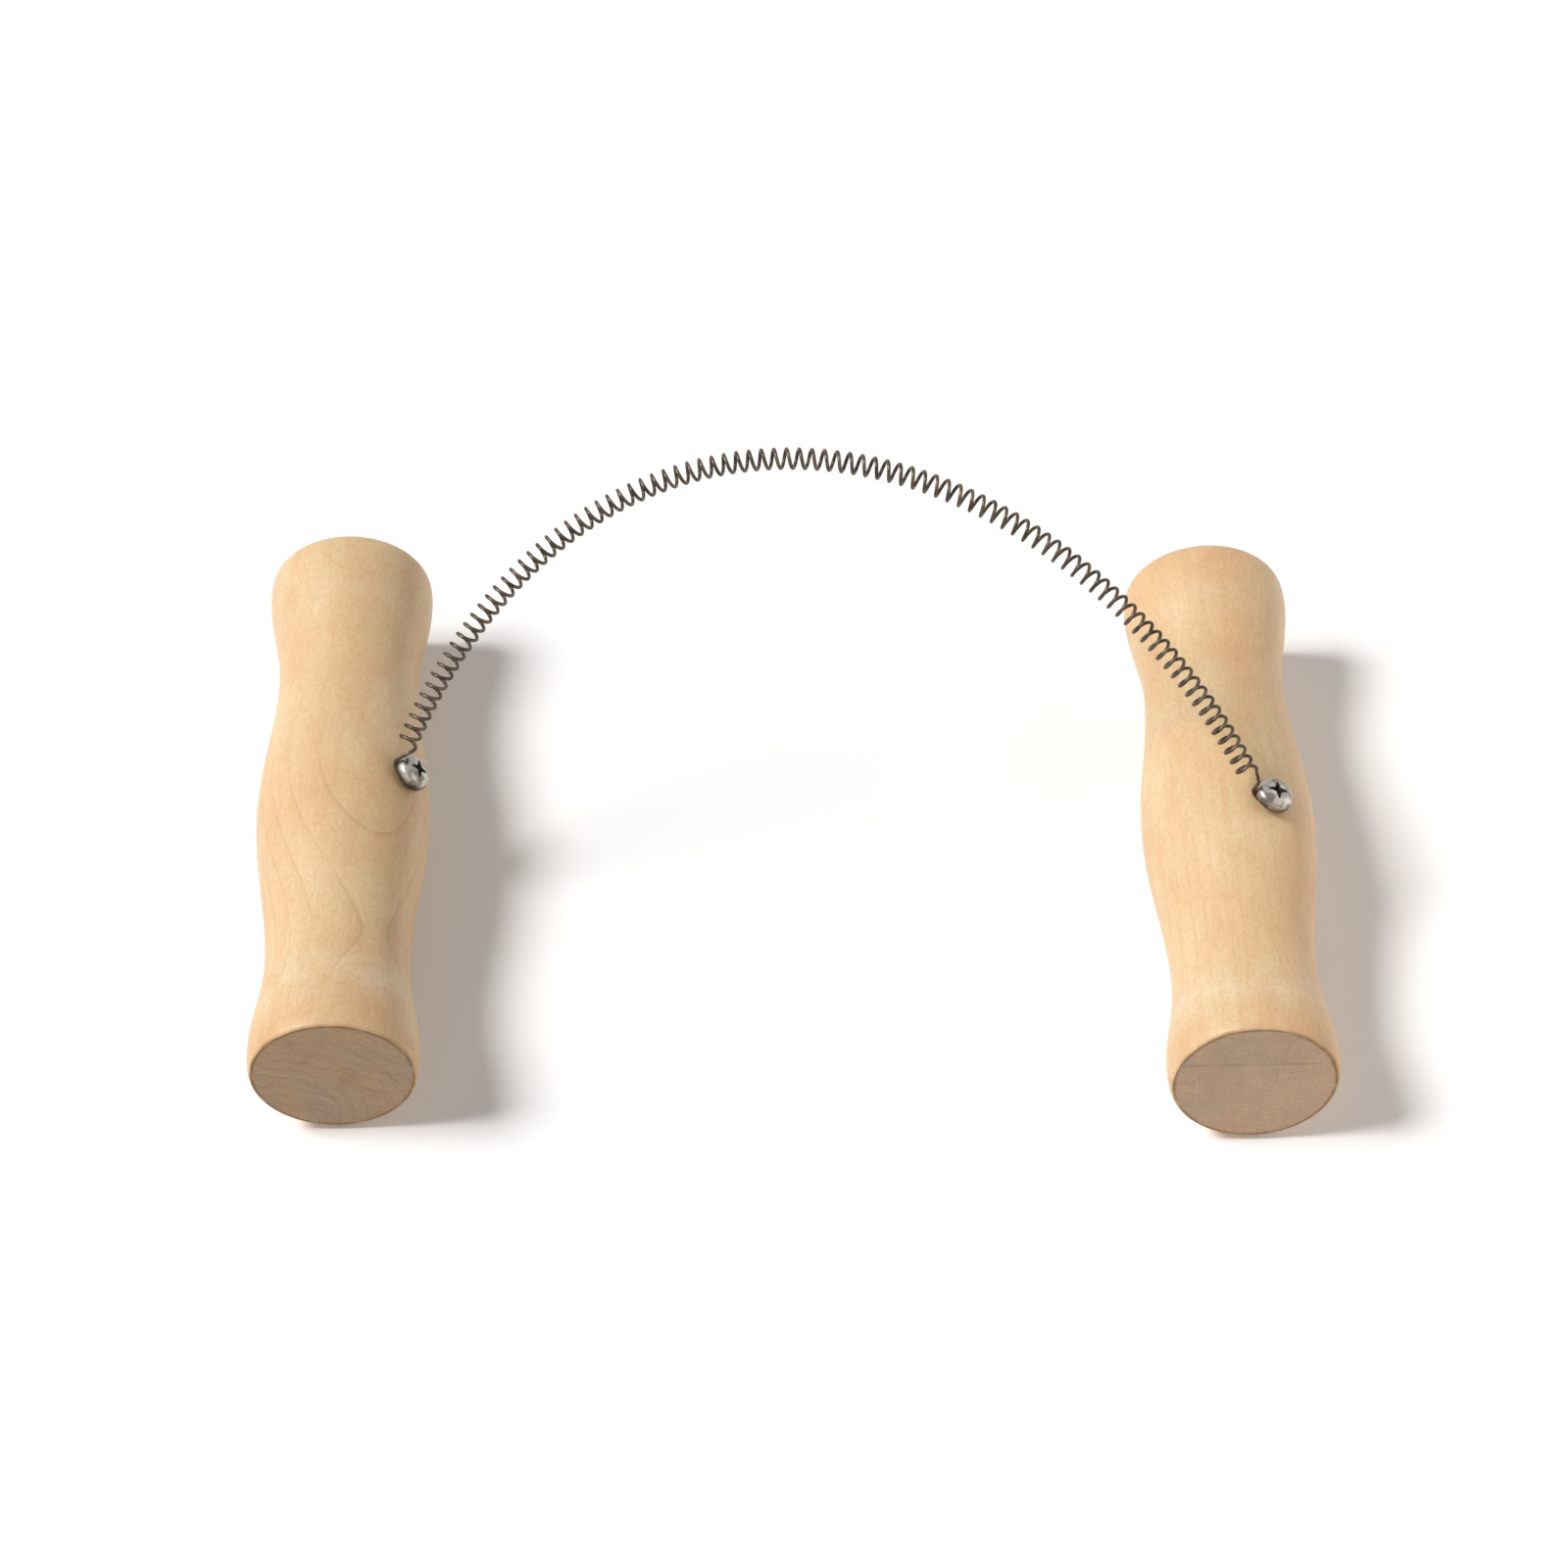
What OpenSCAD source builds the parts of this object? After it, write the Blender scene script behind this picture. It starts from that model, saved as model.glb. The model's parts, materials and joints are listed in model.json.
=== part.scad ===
// Clay cutter with a coiled wire.
// Two turned wooden handles lie side by side, and one long open coil spring of
// thin steel wire arches between them. The wire ends in a round eye at each
// side. A pan head screw passes through each eye into the middle of a handle,
// so the handle turns on the screw under the eye.
// +X runs from the left handle to the right one, +Y along the handles and +Z
// up from the table. The origin is on the table, below the middle.

/* [Handle] */
// Length of a handle
handle_len = 108; // [96:1:124]
// Diameter of the belly, at the middle of a handle
belly_d = 29.5; // [28:0.5:34]
// Diameter of the hollows on both sides of the belly
hollow_d = 24.2; // [21:0.2:27]
// Distance from the middle of a handle to each hollow
hollow_at = 31.5; // [26:0.5:36]
// Diameter of the swell near each end
knob_d = 28.5; // [27.6:0.1:32]
// Diameter of the flat sawn face on each end
end_face_d = 26.9; // [24:0.1:27.4]
// Length over which the swell rounds off towards the flat face
end_round = 3.5; // [1.5:0.25:6]

/* [Screw] */
// Diameter of the pan head
head_d = 6.5; // [6:0.1:8]
// Height of the pan head
head_h = 2.3; // [1.8:0.1:3]
// Diameter of the shank
shank_d = 3.5; // [3:0.1:4]
// Length of the screw below its head, tip included
shank_len = 16; // [12:0.5:20]
// Length of the pointed tip
tip_len = 3.5; // [2:0.5:5]
// Width across the cross recess
recess_w = 4; // [2.8:0.1:4.4]
// Width of one slot of the cross recess
recess_slot = 1; // [0.6:0.1:1.2]
// Depth of the cross recess
recess_depth = 1.6; // [1:0.1:1.8]

/* [Wire] */
// Diameter of the spring wire
wire_d = 0.6; // [0.5:0.05:0.7]
// Outer diameter of the coil
coil_d = 3.8; // [3.4:0.1:4.2]
// Whole curls of the coil
curls = 90; // [60:1:92]
// How far each curl leans towards the right end of the coil, in degrees
curl_lean = 3; // [0:0.5:8]
// How far the eye wraps round its screw, in degrees
eye_wrap = 300; // [270:5:305]
// Radius of the bend between the eye and the riser
riser_bend = 0.9; // [0.7:0.05:1.1]
// Straight length of the riser above its bend
riser_len = 0.8; // [0.6:0.1:1.5]

/* [Arch] */
// Height of the arch in its own plane, from its ends to its top
arch_rise = 52.5; // [40:0.5:62]
// How far the arch leans back from upright, in degrees
arch_lean = 30; // [15:1:40]
// How far the left leg of the arch leads in towards the middle
left_lead_in = 31.5; // [26:0.5:40]
// How far the right leg of the arch leads in towards the middle
right_lead_in = 38; // [30:0.5:44]

/* [Layout] */
// Distance between the centre lines of the two handles
handle_gap = 151; // [140:1:165]
// How far the left handle lies behind the right one
handle_stagger = 6; // [0:1:12]
// Tilt of the left screw from upright, towards the right handle, in degrees
left_screw_tilt = 50; // [40:1:60]
// Tilt of the right screw from upright, in degrees
right_screw_tilt = 23; // [15:1:35]
// Distance of the left screw from the middle of its handle
left_screw_at = 2; // [-6:0.5:6]
// Distance of the right screw from the middle of its handle
right_screw_at = -4.5; // [-6:0.5:6]

/* [Fits] */
// Running clearance between the eye and the shank, on the radius
eye_play = 0.08; // [0.04:0.01:0.1]
// Clearance of the eye above the wood and below the head
eye_gap = 0.1; // [0.05:0.01:0.2]
// Clearance between the riser and the edge of the head
riser_gap = 0.15; // [0.1:0.05:0.4]
// Bite of the shank in the wood, on the radius
shank_bite = 0.05; // [0.02:0.01:0.1]

/* [Hidden] */
WOOD = "burlywood";
PLATED = "silver";
STEEL = "dimgray";
FINE = 96;
PROFILE_STEPS = 12;
HEAD_STEPS = 8;
// How square the shoulder of the pan head is
HEAD_SHAPE = 2.6;
SLACK = 0.01;

belly_r = belly_d / 2;
wire_r = wire_d / 2;
coil_r = coil_d / 2 - wire_r;
eye_r = shank_d / 2 + eye_play + wire_r;
seat_h = 2 * eye_gap + wire_d;
eye_h = eye_gap + wire_r;
riser_reach = head_d / 2 + riser_gap + wire_r;

// Bearing of each riser round its screw, in degrees from the downhill side
LEFT_RISER = 170;
RIGHT_RISER = 175;
// Angle round the arch, from its outer side, where the coil starts and ends
COIL_START = 170;
COIL_END = 20;
// Middle of the first and the last curl, seen from the screws
LEFT_COIL_AT = [-4, 2.3, 3.8];
RIGHT_COIL_AT = [-5.7, 1.5, 3.4];
// How strongly the wire runs straight on where it joins the coil
JOIN_PULL = 0.8;

// Radius of a handle at the distance z from its middle
function ease(a, b, t) = a + (b - a) * (1 - cos(180 * t)) / 2;
function knob_at() = handle_len / 2 - end_round;
function handle_r(z) =
    z < hollow_at
        ? ease(belly_r, hollow_d / 2, z / hollow_at)
        : z < knob_at()
            ? ease(hollow_d / 2, knob_d / 2, (z - hollow_at) / (knob_at() - hollow_at))
            : end_face_d / 2
                + (knob_d - end_face_d) / 2 * sqrt(max(0, 1 - pow((z - knob_at()) / end_round, 2)));

// Distances from the middle at which the outline of half a handle has a point
half_stations = concat(
    [for (i = [0:PROFILE_STEPS - 1]) hollow_at * i / PROFILE_STEPS],
    [for (i = [0:PROFILE_STEPS - 1]) hollow_at + (knob_at() - hollow_at) * i / PROFILE_STEPS],
    [for (i = [0:6]) knob_at() + end_round * sin(15 * i)]
);
half_outline = [for (z = half_stations) [handle_r(z), z]];
far_outline = [for (i = [len(half_outline) - 1:-1:1]) [half_outline[i][0], -half_outline[i][1]]];
handle_outline = concat([[0, -handle_len / 2]], far_outline, half_outline, [[0, handle_len / 2]]);

// Places of the handles and the screws. A screw is [handle x, y, tilt]
left_x = -handle_gap / 2;
right_x = handle_gap / 2;
left_y = handle_stagger / 2;
right_y = -handle_stagger / 2;
LEFT_SCREW = [left_x, left_y + left_screw_at, left_screw_tilt];
RIGHT_SCREW = [right_x, right_y + right_screw_at, right_screw_tilt];
// Each eye is seated on the highest wood that its riser passes over as it turns
function seat_r(at) = handle_r(max(0, abs(at) - riser_reach - wire_r));
left_seat_r = seat_r(left_screw_at);
right_seat_r = seat_r(right_screw_at);

// Turn of a direction by the tilt of a screw
function tilted(v, a) = [v[0] * cos(a) + v[2] * sin(a), v[1], v[2] * cos(a) - v[0] * sin(a)];
// Point p over the seat of a screw, in the frame of the whole tool
function over_seat(screw, seat_r, p) =
    [screw[0], screw[1], belly_r] + tilted(p + [0, 0, seat_r], screw[2]);

module over_screw(screw, seat_r) {
    translate([screw[0], screw[1], belly_r])
        rotate([0, screw[2], 0])
            translate([0, 0, seat_r])
                children();
}

// Axis of the coil: one cubic curve from the left eye to the right one
function unit(v) = v / norm(v);
arch_up = [0, sin(arch_lean), cos(arch_lean)];
arch_a = over_seat(LEFT_SCREW, left_seat_r, LEFT_COIL_AT);
arch_d = over_seat(RIGHT_SCREW, right_seat_r, RIGHT_COIL_AT);
arch_b = arch_a + [left_lead_in, 0, 0] + arch_up * arch_rise * 4 / 3;
arch_c = arch_d - [right_lead_in, 0, 0] + arch_up * arch_rise * 4 / 3;
function bezier(a, b, c, d, t) =
    a * pow(1 - t, 3) + b * 3 * t * pow(1 - t, 2) + c * 3 * t * t * (1 - t) + d * pow(t, 3);
function bezier_way(a, b, c, d, t) =
    (b - a) * pow(1 - t, 2) + (c - b) * 2 * t * (1 - t) + (d - c) * t * t;
function arch(t) = bezier(arch_a, arch_b, arch_c, arch_d, t);
function arch_way(t) = unit(bezier_way(arch_a, arch_b, arch_c, arch_d, t));

// Length along the arch up to each of a row of stations, so that curls keep one pitch
ARCH_STEPS = 160;
arch_pieces = [for (i = [1:ARCH_STEPS]) norm(arch(i / ARCH_STEPS) - arch((i - 1) / ARCH_STEPS))];
arch_lengths = [
    for (i = 0, s = 0; i <= ARCH_STEPS; s = s + (i < ARCH_STEPS ? arch_pieces[i] : 0), i = i + 1)
        [s, i / ARCH_STEPS]
];
arch_len = arch_lengths[ARCH_STEPS][0];
function arch_at(share) = lookup(share * arch_len, arch_lengths);

// The coil turns about the arch, right handed, from COIL_START to COIL_END
arch_side = unit(cross(arch_d - arch_a, arch_up));
function mod360(a) = a - 360 * floor(a / 360);
coil_turn = 360 * curls + mod360(COIL_END - COIL_START);
function coil_out(share) = unit(cross(arch_side, arch_way(arch_at(share))));
function coil_across(share) =
    let (way = arch_way(arch_at(share)))
    cross(way, coil_out(share)) + way * tan(curl_lean);
function coil_point(share) =
    let (a = COIL_START + coil_turn * share)
    arch(arch_at(share)) + coil_r * (coil_out(share) * cos(a) + coil_across(share) * sin(a));
function coil_way(share) = unit(coil_point(share + 0.0001) - coil_point(share - 0.0001));

// Riser of an eye: where it stands round the screw, and its top in the tool's frame
function riser_foot(riser) = [riser_reach * cos(riser), riser_reach * sin(riser)];
function riser_top_h() = eye_h + riser_bend + riser_len;
function riser_top(screw, seat_r, riser, up) =
    over_seat(screw, seat_r, concat(riser_foot(riser), [riser_top_h() + up]));
left_top = riser_top(LEFT_SCREW, left_seat_r, LEFT_RISER, 0);
left_run = riser_top(LEFT_SCREW, left_seat_r, LEFT_RISER, wire_d);
left_up = unit(left_run - left_top);
right_top = riser_top(RIGHT_SCREW, right_seat_r, RIGHT_RISER, 0);
right_run = riser_top(RIGHT_SCREW, right_seat_r, RIGHT_RISER, wire_d);
right_up = unit(right_run - right_top);

// Middle line of the coiled wire, as points, with so many points on a curl.
// At each end it runs straight for one wire diameter, on from the riser.
function join(a, a_way, b, b_way, steps) =
    [for (i = [0:steps - 1]) bezier(a, a + a_way * JOIN_PULL, b - b_way * JOIN_PULL, b, i / steps)];
function coil_line(on_curl) =
    let (steps = round(on_curl * coil_turn / 360))
    concat(
        [left_top],
        join(left_run, left_up, coil_point(0), coil_way(0), on_curl),
        [for (i = [0:steps - 1]) coil_point(i / steps)],
        join(coil_point(1), coil_way(1), right_run, -right_up, on_curl),
        [right_run, right_top]
    );

// Ring frames that follow a line of points without twisting
function way_at(line, i) =
    i == 0
        ? unit(line[1] - line[0])
        : i == len(line) - 1
            ? unit(line[i] - line[i - 1])
            : unit(unit(line[i + 1] - line[i]) + unit(line[i] - line[i - 1]));
function square_to(v, way) = unit(v - way * (v * way));
function ring_sides(line) = [
    for (i = 0, s = square_to([1, 0, 0], way_at(line, 0)); i < len(line);
            i = i + 1, s = i < len(line) ? square_to(s, way_at(line, i)) : s)
        s
];

// One tube along a line of points, in triangles
TUBE_SIDES = 6;
module tube(line, r) {
    sides = ring_sides(line);
    rings = len(line);
    points = [
        for (i = [0:rings - 1])
            let (way = way_at(line, i), across = cross(way, sides[i]))
            for (k = [0:TUBE_SIDES - 1])
                line[i] + r * (sides[i] * cos(60 * k) + across * sin(60 * k))
    ];
    wall = [
        for (i = [0:rings - 2])
            for (k = [0:TUBE_SIDES - 1])
                let (a = i * TUBE_SIDES + k, b = i * TUBE_SIDES + (k + 1) % TUBE_SIDES)
                for (f = [[a, a + TUBE_SIDES, b], [b, a + TUBE_SIDES, b + TUBE_SIDES]])
                    f
    ];
    last = (rings - 1) * TUBE_SIDES;
    ends = [
        for (k = [1:TUBE_SIDES - 2])
            for (f = [[0, k, k + 1], [last, last + k + 1, last + k]])
                f
    ];
    polyhedron(points = points, faces = concat(wall, ends));
}

// Least gap of the coiled wire to itself, between points a good half curl apart
MEASURE_ON_CURL = 24;
measured = coil_line(MEASURE_ON_CURL);
coil_gap = min([
    for (i = [0:len(measured) - 1])
        for (k = [12:36])
            if (i + k < len(measured))
                norm(measured[i + k] - measured[i]) - wire_d
]);
echo(coil_gap = coil_gap, arch_len = arch_len, pitch = arch_len / (coil_turn / 360));

module handle(x, y, screw, seat_r) {
    color(WOOD)
        difference() {
            translate([x, y, belly_r])
                rotate([-90, 0, 0])
                    rotate_extrude($fn = FINE)
                        polygon(handle_outline);
            over_screw(screw, seat_r)
                translate([0, 0, seat_h - shank_len])
                    cylinder(r = shank_d / 2 - shank_bite, h = shank_len, $fn = FINE);
        }
}

// Outline of half a pan head: flat below, with a round shoulder and a low crown
function head_point(a) = [
    head_d / 2 * pow(cos(a), 2 / HEAD_SHAPE),
    head_h * (0.3 + 0.7 * pow(sin(a), 2 / HEAD_SHAPE))
];

module cross_recess() {
    intersection() {
        union() {
            cube([recess_w, recess_slot, 2 * recess_depth], center = true);
            cube([recess_slot, recess_w, 2 * recess_depth], center = true);
        }
        translate([0, 0, -recess_depth])
            cylinder(r1 = recess_slot / 2, r2 = recess_w / 2, h = recess_depth + SLACK, $fn = FINE);
    }
}

module screw(screw, seat_r) {
    crown = [for (i = [0:HEAD_STEPS - 1]) head_point(90 * i / HEAD_STEPS)];
    color(PLATED)
        over_screw(screw, seat_r)
            translate([0, 0, seat_h])
                difference() {
                    rotate_extrude($fn = FINE)
                        polygon(concat(
                            [[0, -shank_len], [shank_d / 2, tip_len - shank_len], [shank_d / 2, 0]],
                            [[head_d / 2, 0]],
                            crown,
                            [[0, head_h]]
                        ));
                    translate([0, 0, head_h])
                        cross_recess();
                }
}

// Eye of the wire: a loop round the shank, a straight run past the edge of the
// head, a bend and a riser that stands square to the wood
module eye(screw, seat_r, riser) {
    hug = acos(eye_r / riser_reach);
    run = sqrt(pow(riser_reach, 2) - pow(eye_r, 2)) - riser_bend;
    color(STEEL)
        over_screw(screw, seat_r)
            translate([0, 0, eye_h])
                rotate([0, 0, riser + hug]) {
                    rotate_extrude(angle = eye_wrap, $fn = FINE)
                        translate([eye_r, 0])
                            circle(r = wire_r, $fn = FINE);
                    translate([eye_r, 0, 0])
                        rotate([90, 0, 0])
                            cylinder(r = wire_r, h = run, $fn = FINE);
                    translate([eye_r, -run, riser_bend])
                        rotate([0, 90, 180])
                            rotate_extrude(angle = 90, $fn = FINE)
                                translate([riser_bend, 0])
                                    circle(r = wire_r, $fn = FINE);
                    translate([eye_r, -run - riser_bend, riser_bend])
                        cylinder(r = wire_r, h = riser_len, $fn = FINE);
                }
}

module left_handle() {
    handle(left_x, left_y, LEFT_SCREW, left_seat_r);
}

module right_handle() {
    handle(right_x, right_y, RIGHT_SCREW, right_seat_r);
}

module left_screw() {
    screw(LEFT_SCREW, left_seat_r);
}

module right_screw() {
    screw(RIGHT_SCREW, right_seat_r);
}

module wire_left_eye() {
    eye(LEFT_SCREW, left_seat_r, LEFT_RISER);
}

module wire_coil() {
    color(STEEL)
        tube(coil_line(8), wire_r);
}

module wire_right_eye() {
    eye(RIGHT_SCREW, right_seat_r, RIGHT_RISER);
}

left_handle();
right_handle();
left_screw();
right_screw();
wire_left_eye();
wire_coil();
wire_right_eye();
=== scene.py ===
"""A clay cutter lying on a white table: two turned handles and one long coil of spring wire."""
import json
import math

import bmesh
import bpy
from mathutils import Matrix, Vector


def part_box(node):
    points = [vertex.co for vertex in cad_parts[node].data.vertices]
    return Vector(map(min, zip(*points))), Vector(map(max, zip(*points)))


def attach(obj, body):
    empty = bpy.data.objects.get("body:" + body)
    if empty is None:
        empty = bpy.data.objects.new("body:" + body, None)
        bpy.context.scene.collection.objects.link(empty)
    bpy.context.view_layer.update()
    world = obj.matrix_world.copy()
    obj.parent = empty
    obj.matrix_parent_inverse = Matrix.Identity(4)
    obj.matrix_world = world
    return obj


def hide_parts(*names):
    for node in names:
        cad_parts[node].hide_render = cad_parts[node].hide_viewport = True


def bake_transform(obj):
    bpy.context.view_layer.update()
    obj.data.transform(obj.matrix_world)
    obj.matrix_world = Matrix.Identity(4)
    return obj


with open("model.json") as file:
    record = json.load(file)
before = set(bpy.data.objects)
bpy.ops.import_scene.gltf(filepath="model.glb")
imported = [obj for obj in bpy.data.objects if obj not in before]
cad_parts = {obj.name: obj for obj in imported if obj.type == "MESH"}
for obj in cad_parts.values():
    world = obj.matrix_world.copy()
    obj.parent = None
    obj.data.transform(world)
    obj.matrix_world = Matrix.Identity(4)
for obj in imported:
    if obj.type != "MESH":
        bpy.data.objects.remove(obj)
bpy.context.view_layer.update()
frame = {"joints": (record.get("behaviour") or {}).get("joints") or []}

joints = {joint["name"]: joint for joint in frame["joints"]}

MM = 0.001
SAME_PLACE = 0.0001 * MM
UP = Vector((0, 0, 1))
ALONG = Vector((0, 1, 0))

# The photograph's frame and view
IMAGE_PX = 1600
FOCAL_PX = 5017
SENSOR_MM = 36.0
CAMERA_AT = Vector((-13.9, -533.9, 662.6)) * MM
LOOK_AT = Vector((0.33, 21.95, 0.0)) * MM
NEAREST_SEEN = 0.05
FARTHEST_SEEN = 50.0

# Light and table
LAMP_HEIGHT = math.radians(50)
LAMP_WIDTH = math.radians(21)
LAMP_STRENGTH = 2.87
CARD_SIZE = 0.3
CARD_WATTS = 0.26
CARD_AT = Vector((0.33, -0.05, 0.13))
CARD_AIM = Vector((0.09, 0.0, 0.02))
ROOM_LIGHT = 0.195
TABLE_HALF = 6.0
TABLE_GLOW = 0.1

# Turned handle, half of its outline
BELLY_R = 14.75 * MM
HOLLOW_R = 12.1 * MM
HOLLOW_AT = 31.5 * MM
KNOB_R = 14.25 * MM
FACE_R = 13.45 * MM
END_ROUND = 3.5 * MM
OUT_OF_SQUARE = {"left": 0.0, "right": 1.5 * MM}
LEAN_REACH = 14.0 * MM
PROFILE_STEP = 0.75 * MM
RIM_STEPS = 12
TURN_STEPS = 144

# How each handle was cut from its board: the board's turns about the handle, how far off its pith was,
# the width of a year in millimetres, where the first year's line falls and how strong the lines are
BOARDS = {
    "left": {
        "lean": math.radians(22.8),
        "drift": math.radians(-3.9),
        "slant": math.radians(-5.4),
        "pith": 14.6 * MM,
        "year": 2.26,
        "first": 0.51,
        "lines": 0.42,
    },
    "right": {
        "lean": math.radians(86.0),
        "drift": math.radians(-0.4),
        "slant": 0.0,
        "pith": 70 * MM,
        "year": 2.1,
        "first": 0.10,
        "lines": 0.22,
    },
}

# How each sawn end looks: its two browns, how strong its growth lines and saw marks are and how the
# saw was held, and how high in millimetres and how strong the one long scratch is
SAWN_ENDS = {
    "left": {
        "tan": "#C6A584",
        "stain": "#B4916B",
        "lines": 0.35,
        "saw_lean": math.radians(-28),
        "saw_marks": 0.42,
        "scratch_at": 24.5,
        "scratch": 0.0,
    },
    "right": {
        "tan": "#D6B698",
        "stain": "#C9A088",
        "lines": 0.08,
        "saw_lean": math.radians(2),
        "saw_marks": 0.16,
        "scratch_at": 19.4,
        "scratch": 0.36,
    },
}

# How the saw marks are squeezed across, along and up the handle: long across it, and fine up it
SAW_SQUEEZE = (0.16, 1.0, 2.2)

# Where a handle gets painted shade (darker) and wear with a painted sheen (paler), counted from its end;
# the far end gets a smaller share of both
RIM_BAND = 0.6 * MM
END_SHADE_BAND = 9.0 * MM
WEAR_AND_SHEEN_AT = 11.5 * MM
WEAR_AND_SHEEN_BAND = 7.0 * MM
FAR_END_SHARE = 0.35

# Screw
HEAD_R = 3.25 * MM
HEAD_H = 2.3 * MM
SHANK_R = 1.75 * MM
CORE_R = 1.15 * MM
SHANK_LEN = 16.0 * MM
NECK_LEN = 3.0 * MM
NECK_SLOPE = 0.4 * MM
TIP_LEN = 3.5 * MM
THREAD_PITCH = 1.35 * MM
THREAD_STEPS = 36
THREAD_HALF = 0.36
THREAD_SINK = 0.1 * MM
THREAD_RUN_ON = 0.2
RECESS_R = 2.0 * MM
RECESS_ARM = 0.2 * MM
RECESS_CORNER = 0.56 * MM
RECESS_DEPTH = 1.6 * MM
RECESS_TOP = 0.3 * MM
RECESS_TAPER = 0.4
HEAD_SHAPE = 2.6
HEAD_SHOULDER = 0.3
HEAD_EDGE = 0.1 * MM
HEAD_FILLET = 0.15 * MM
HEAD_STEPS = 14
SCREW_TURN_STEPS = 72
SHARP_ANGLE = math.radians(32)
UNDERSIDE_SHADE_BAND = 0.8 * MM
RECESS_TURN = {"left": math.radians(6), "right": math.radians(2)}

# Wire
WIRE_R = 0.3 * MM
COIL_R = 1.6 * MM
CURLS = 90
CURL_LEAN = math.radians(3)
EYE_R = 2.13 * MM
EYE_WRAP = math.radians(300)
EYE_STEPS = 48
EYE_H = 0.4 * MM
SEAT_H = 0.8 * MM
RISER_REACH = 3.7 * MM
RISER_BEND = 0.9 * MM
BEND_STEPS = 10
RISER_LEN = 0.8 * MM
LEFT_RISER = math.radians(170)
RIGHT_RISER = math.radians(175)
COIL_START = math.radians(170)
COIL_END = math.radians(20)
LEFT_COIL_AT = Vector((-4.0, 2.3, 3.8)) * MM
RIGHT_COIL_AT = Vector((-5.7, 1.5, 3.4)) * MM
JOIN_PULL = 0.8 * MM
ARCH_RISE = 52.5 * MM
ARCH_LEAN = math.radians(30)
LEFT_LEAD_IN = 31.5 * MM
RIGHT_LEAD_IN = 38.0 * MM
ARCH_STEPS = 400
POINTS_ON_CURL = 28


def linear(code):
    """Turns an sRGB hex colour into the linear one that a shader takes."""
    shares = [int(code[i:i + 2], 16) / 255 for i in (1, 3, 5)]
    return tuple(s / 12.92 if s <= 0.04045 else ((s + 0.055) / 1.055) ** 2.4 for s in shares) + (1.0,)


def add(tree, kind, inputs=(), out=0, **settings):
    """Adds a node with its settings, gives each input a value or a link, and returns one output."""
    node = tree.nodes.new("ShaderNode" + kind)
    for name, value in settings.items():
        setattr(node, name, value)
    for name, value in dict(inputs).items():
        if isinstance(value, bpy.types.NodeSocket):
            tree.links.new(value, node.inputs[name])
        else:
            node.inputs[name].default_value = value
    return node.outputs[out] if node.outputs else node


def new_material(name):
    """A material with nothing in it yet."""
    material = bpy.data.materials.new(name)
    material.use_nodes = True
    material.node_tree.nodes.clear()
    return material


def in_millimetres(tree):
    """The place on a piece in millimetres, to size a pattern by."""
    place = add(tree, "TexCoord", out="Object")
    return add(tree, "VectorMath", {0: place, 1: (1 / MM, 1 / MM, 1 / MM)}, operation="MULTIPLY")


def marks(tree, spot, size, low, high, most=1.0, length=1.0, detail=2.0):
    """How strong the marks are: spots about size mm wide, drawn out along the grain by length."""
    drawn = (1 / size, 1 / (size * length), 1 / size)
    scaled = add(tree, "VectorMath", {0: spot, 1: drawn}, operation="MULTIPLY")
    lumps = add(tree, "TexNoise", {"Vector": scaled, "Scale": 1.0, "Detail": detail, "Roughness": 0.6})
    return add(tree, "MapRange", {"Value": lumps, "From Min": low, "From Max": high, "To Max": most})


# Pale even hardwood, turned and sanded smooth, with a thin clear sealer: a satin honey skin with a
# few faint growth lines, short fibre flecks and soft clouds of colour. Its pores are under 0.1 mm wide
# and wouldn't show, so the flecks are drawn 0.3 to 0.6 mm wide.
WOOD_PALE = linear("#EED3A6")
WOOD_HONEY = linear("#E7C190")
WOOD_ROSE = linear("#E2B388")
RING_LINE = linear("#BE8C5C")
FLECK = linear("#C29868")
# Pale: real wear in small flecks, and a painted sheen in a band between the hollow and the knob near each
# end
WEAR_AND_SHEEN = linear("#F4E2C6")
# Painted shade: a darker warm band on the knob near each end, where the round turns away from the light
PAINTED_END_SHADE = linear("#DCAE7E")
BURNT = linear("#8E6438")


def handle_middle(side):
    """The middle of a handle, on its axis."""
    low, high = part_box(side + "_handle")
    return Vector(((low.x + high.x) / 2, (low.y + high.y) / 2, BELLY_R))


def in_board(tree, side):
    """Millimetres in the board that a handle was cut from: z away from the pith, y along the grain."""
    board = BOARDS[side]
    lean = board["lean"]
    inputs = {
        "Vector": add(tree, "TexCoord", out="Object"),
        "Location": handle_middle(side) - board["pith"] * Vector((math.sin(lean), 0, math.cos(lean))),
        "Rotation": (board["drift"], lean, board["slant"]),
        "Scale": (MM, MM, MM),
    }
    return add(tree, "Mapping", inputs, vector_type="TEXTURE")


def growth_lines(tree, spot, board):
    """How dark a year's growth is: it deepens slowly up to a fine late line, and then starts again."""
    sway = marks(tree, spot, 22.0, 0.0, 1.0, 0.3, 3.0, 1.0)
    across = add(tree, "VectorMath", {0: spot, 1: (1, 0, 1)}, operation="MULTIPLY")
    reach = add(tree, "VectorMath", {0: across}, out="Value", operation="LENGTH")
    swayed = add(tree, "Math", {0: reach, 1: sway}, operation="ADD")
    inputs = {0: swayed, 1: 1 / board["year"], 2: board["first"]}
    years = add(tree, "Math", inputs, operation="MULTIPLY_ADD")
    year = add(tree, "Math", {0: years}, operation="FRACT")
    late = add(tree, "Math", {0: year, 1: 26.0}, operation="POWER")
    summer = add(tree, "Math", {0: year, 1: 4.0}, operation="POWER")
    return add(tree, "Math", {0: summer, 1: 0.22, 2: late}, operation="MULTIPLY_ADD")


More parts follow.
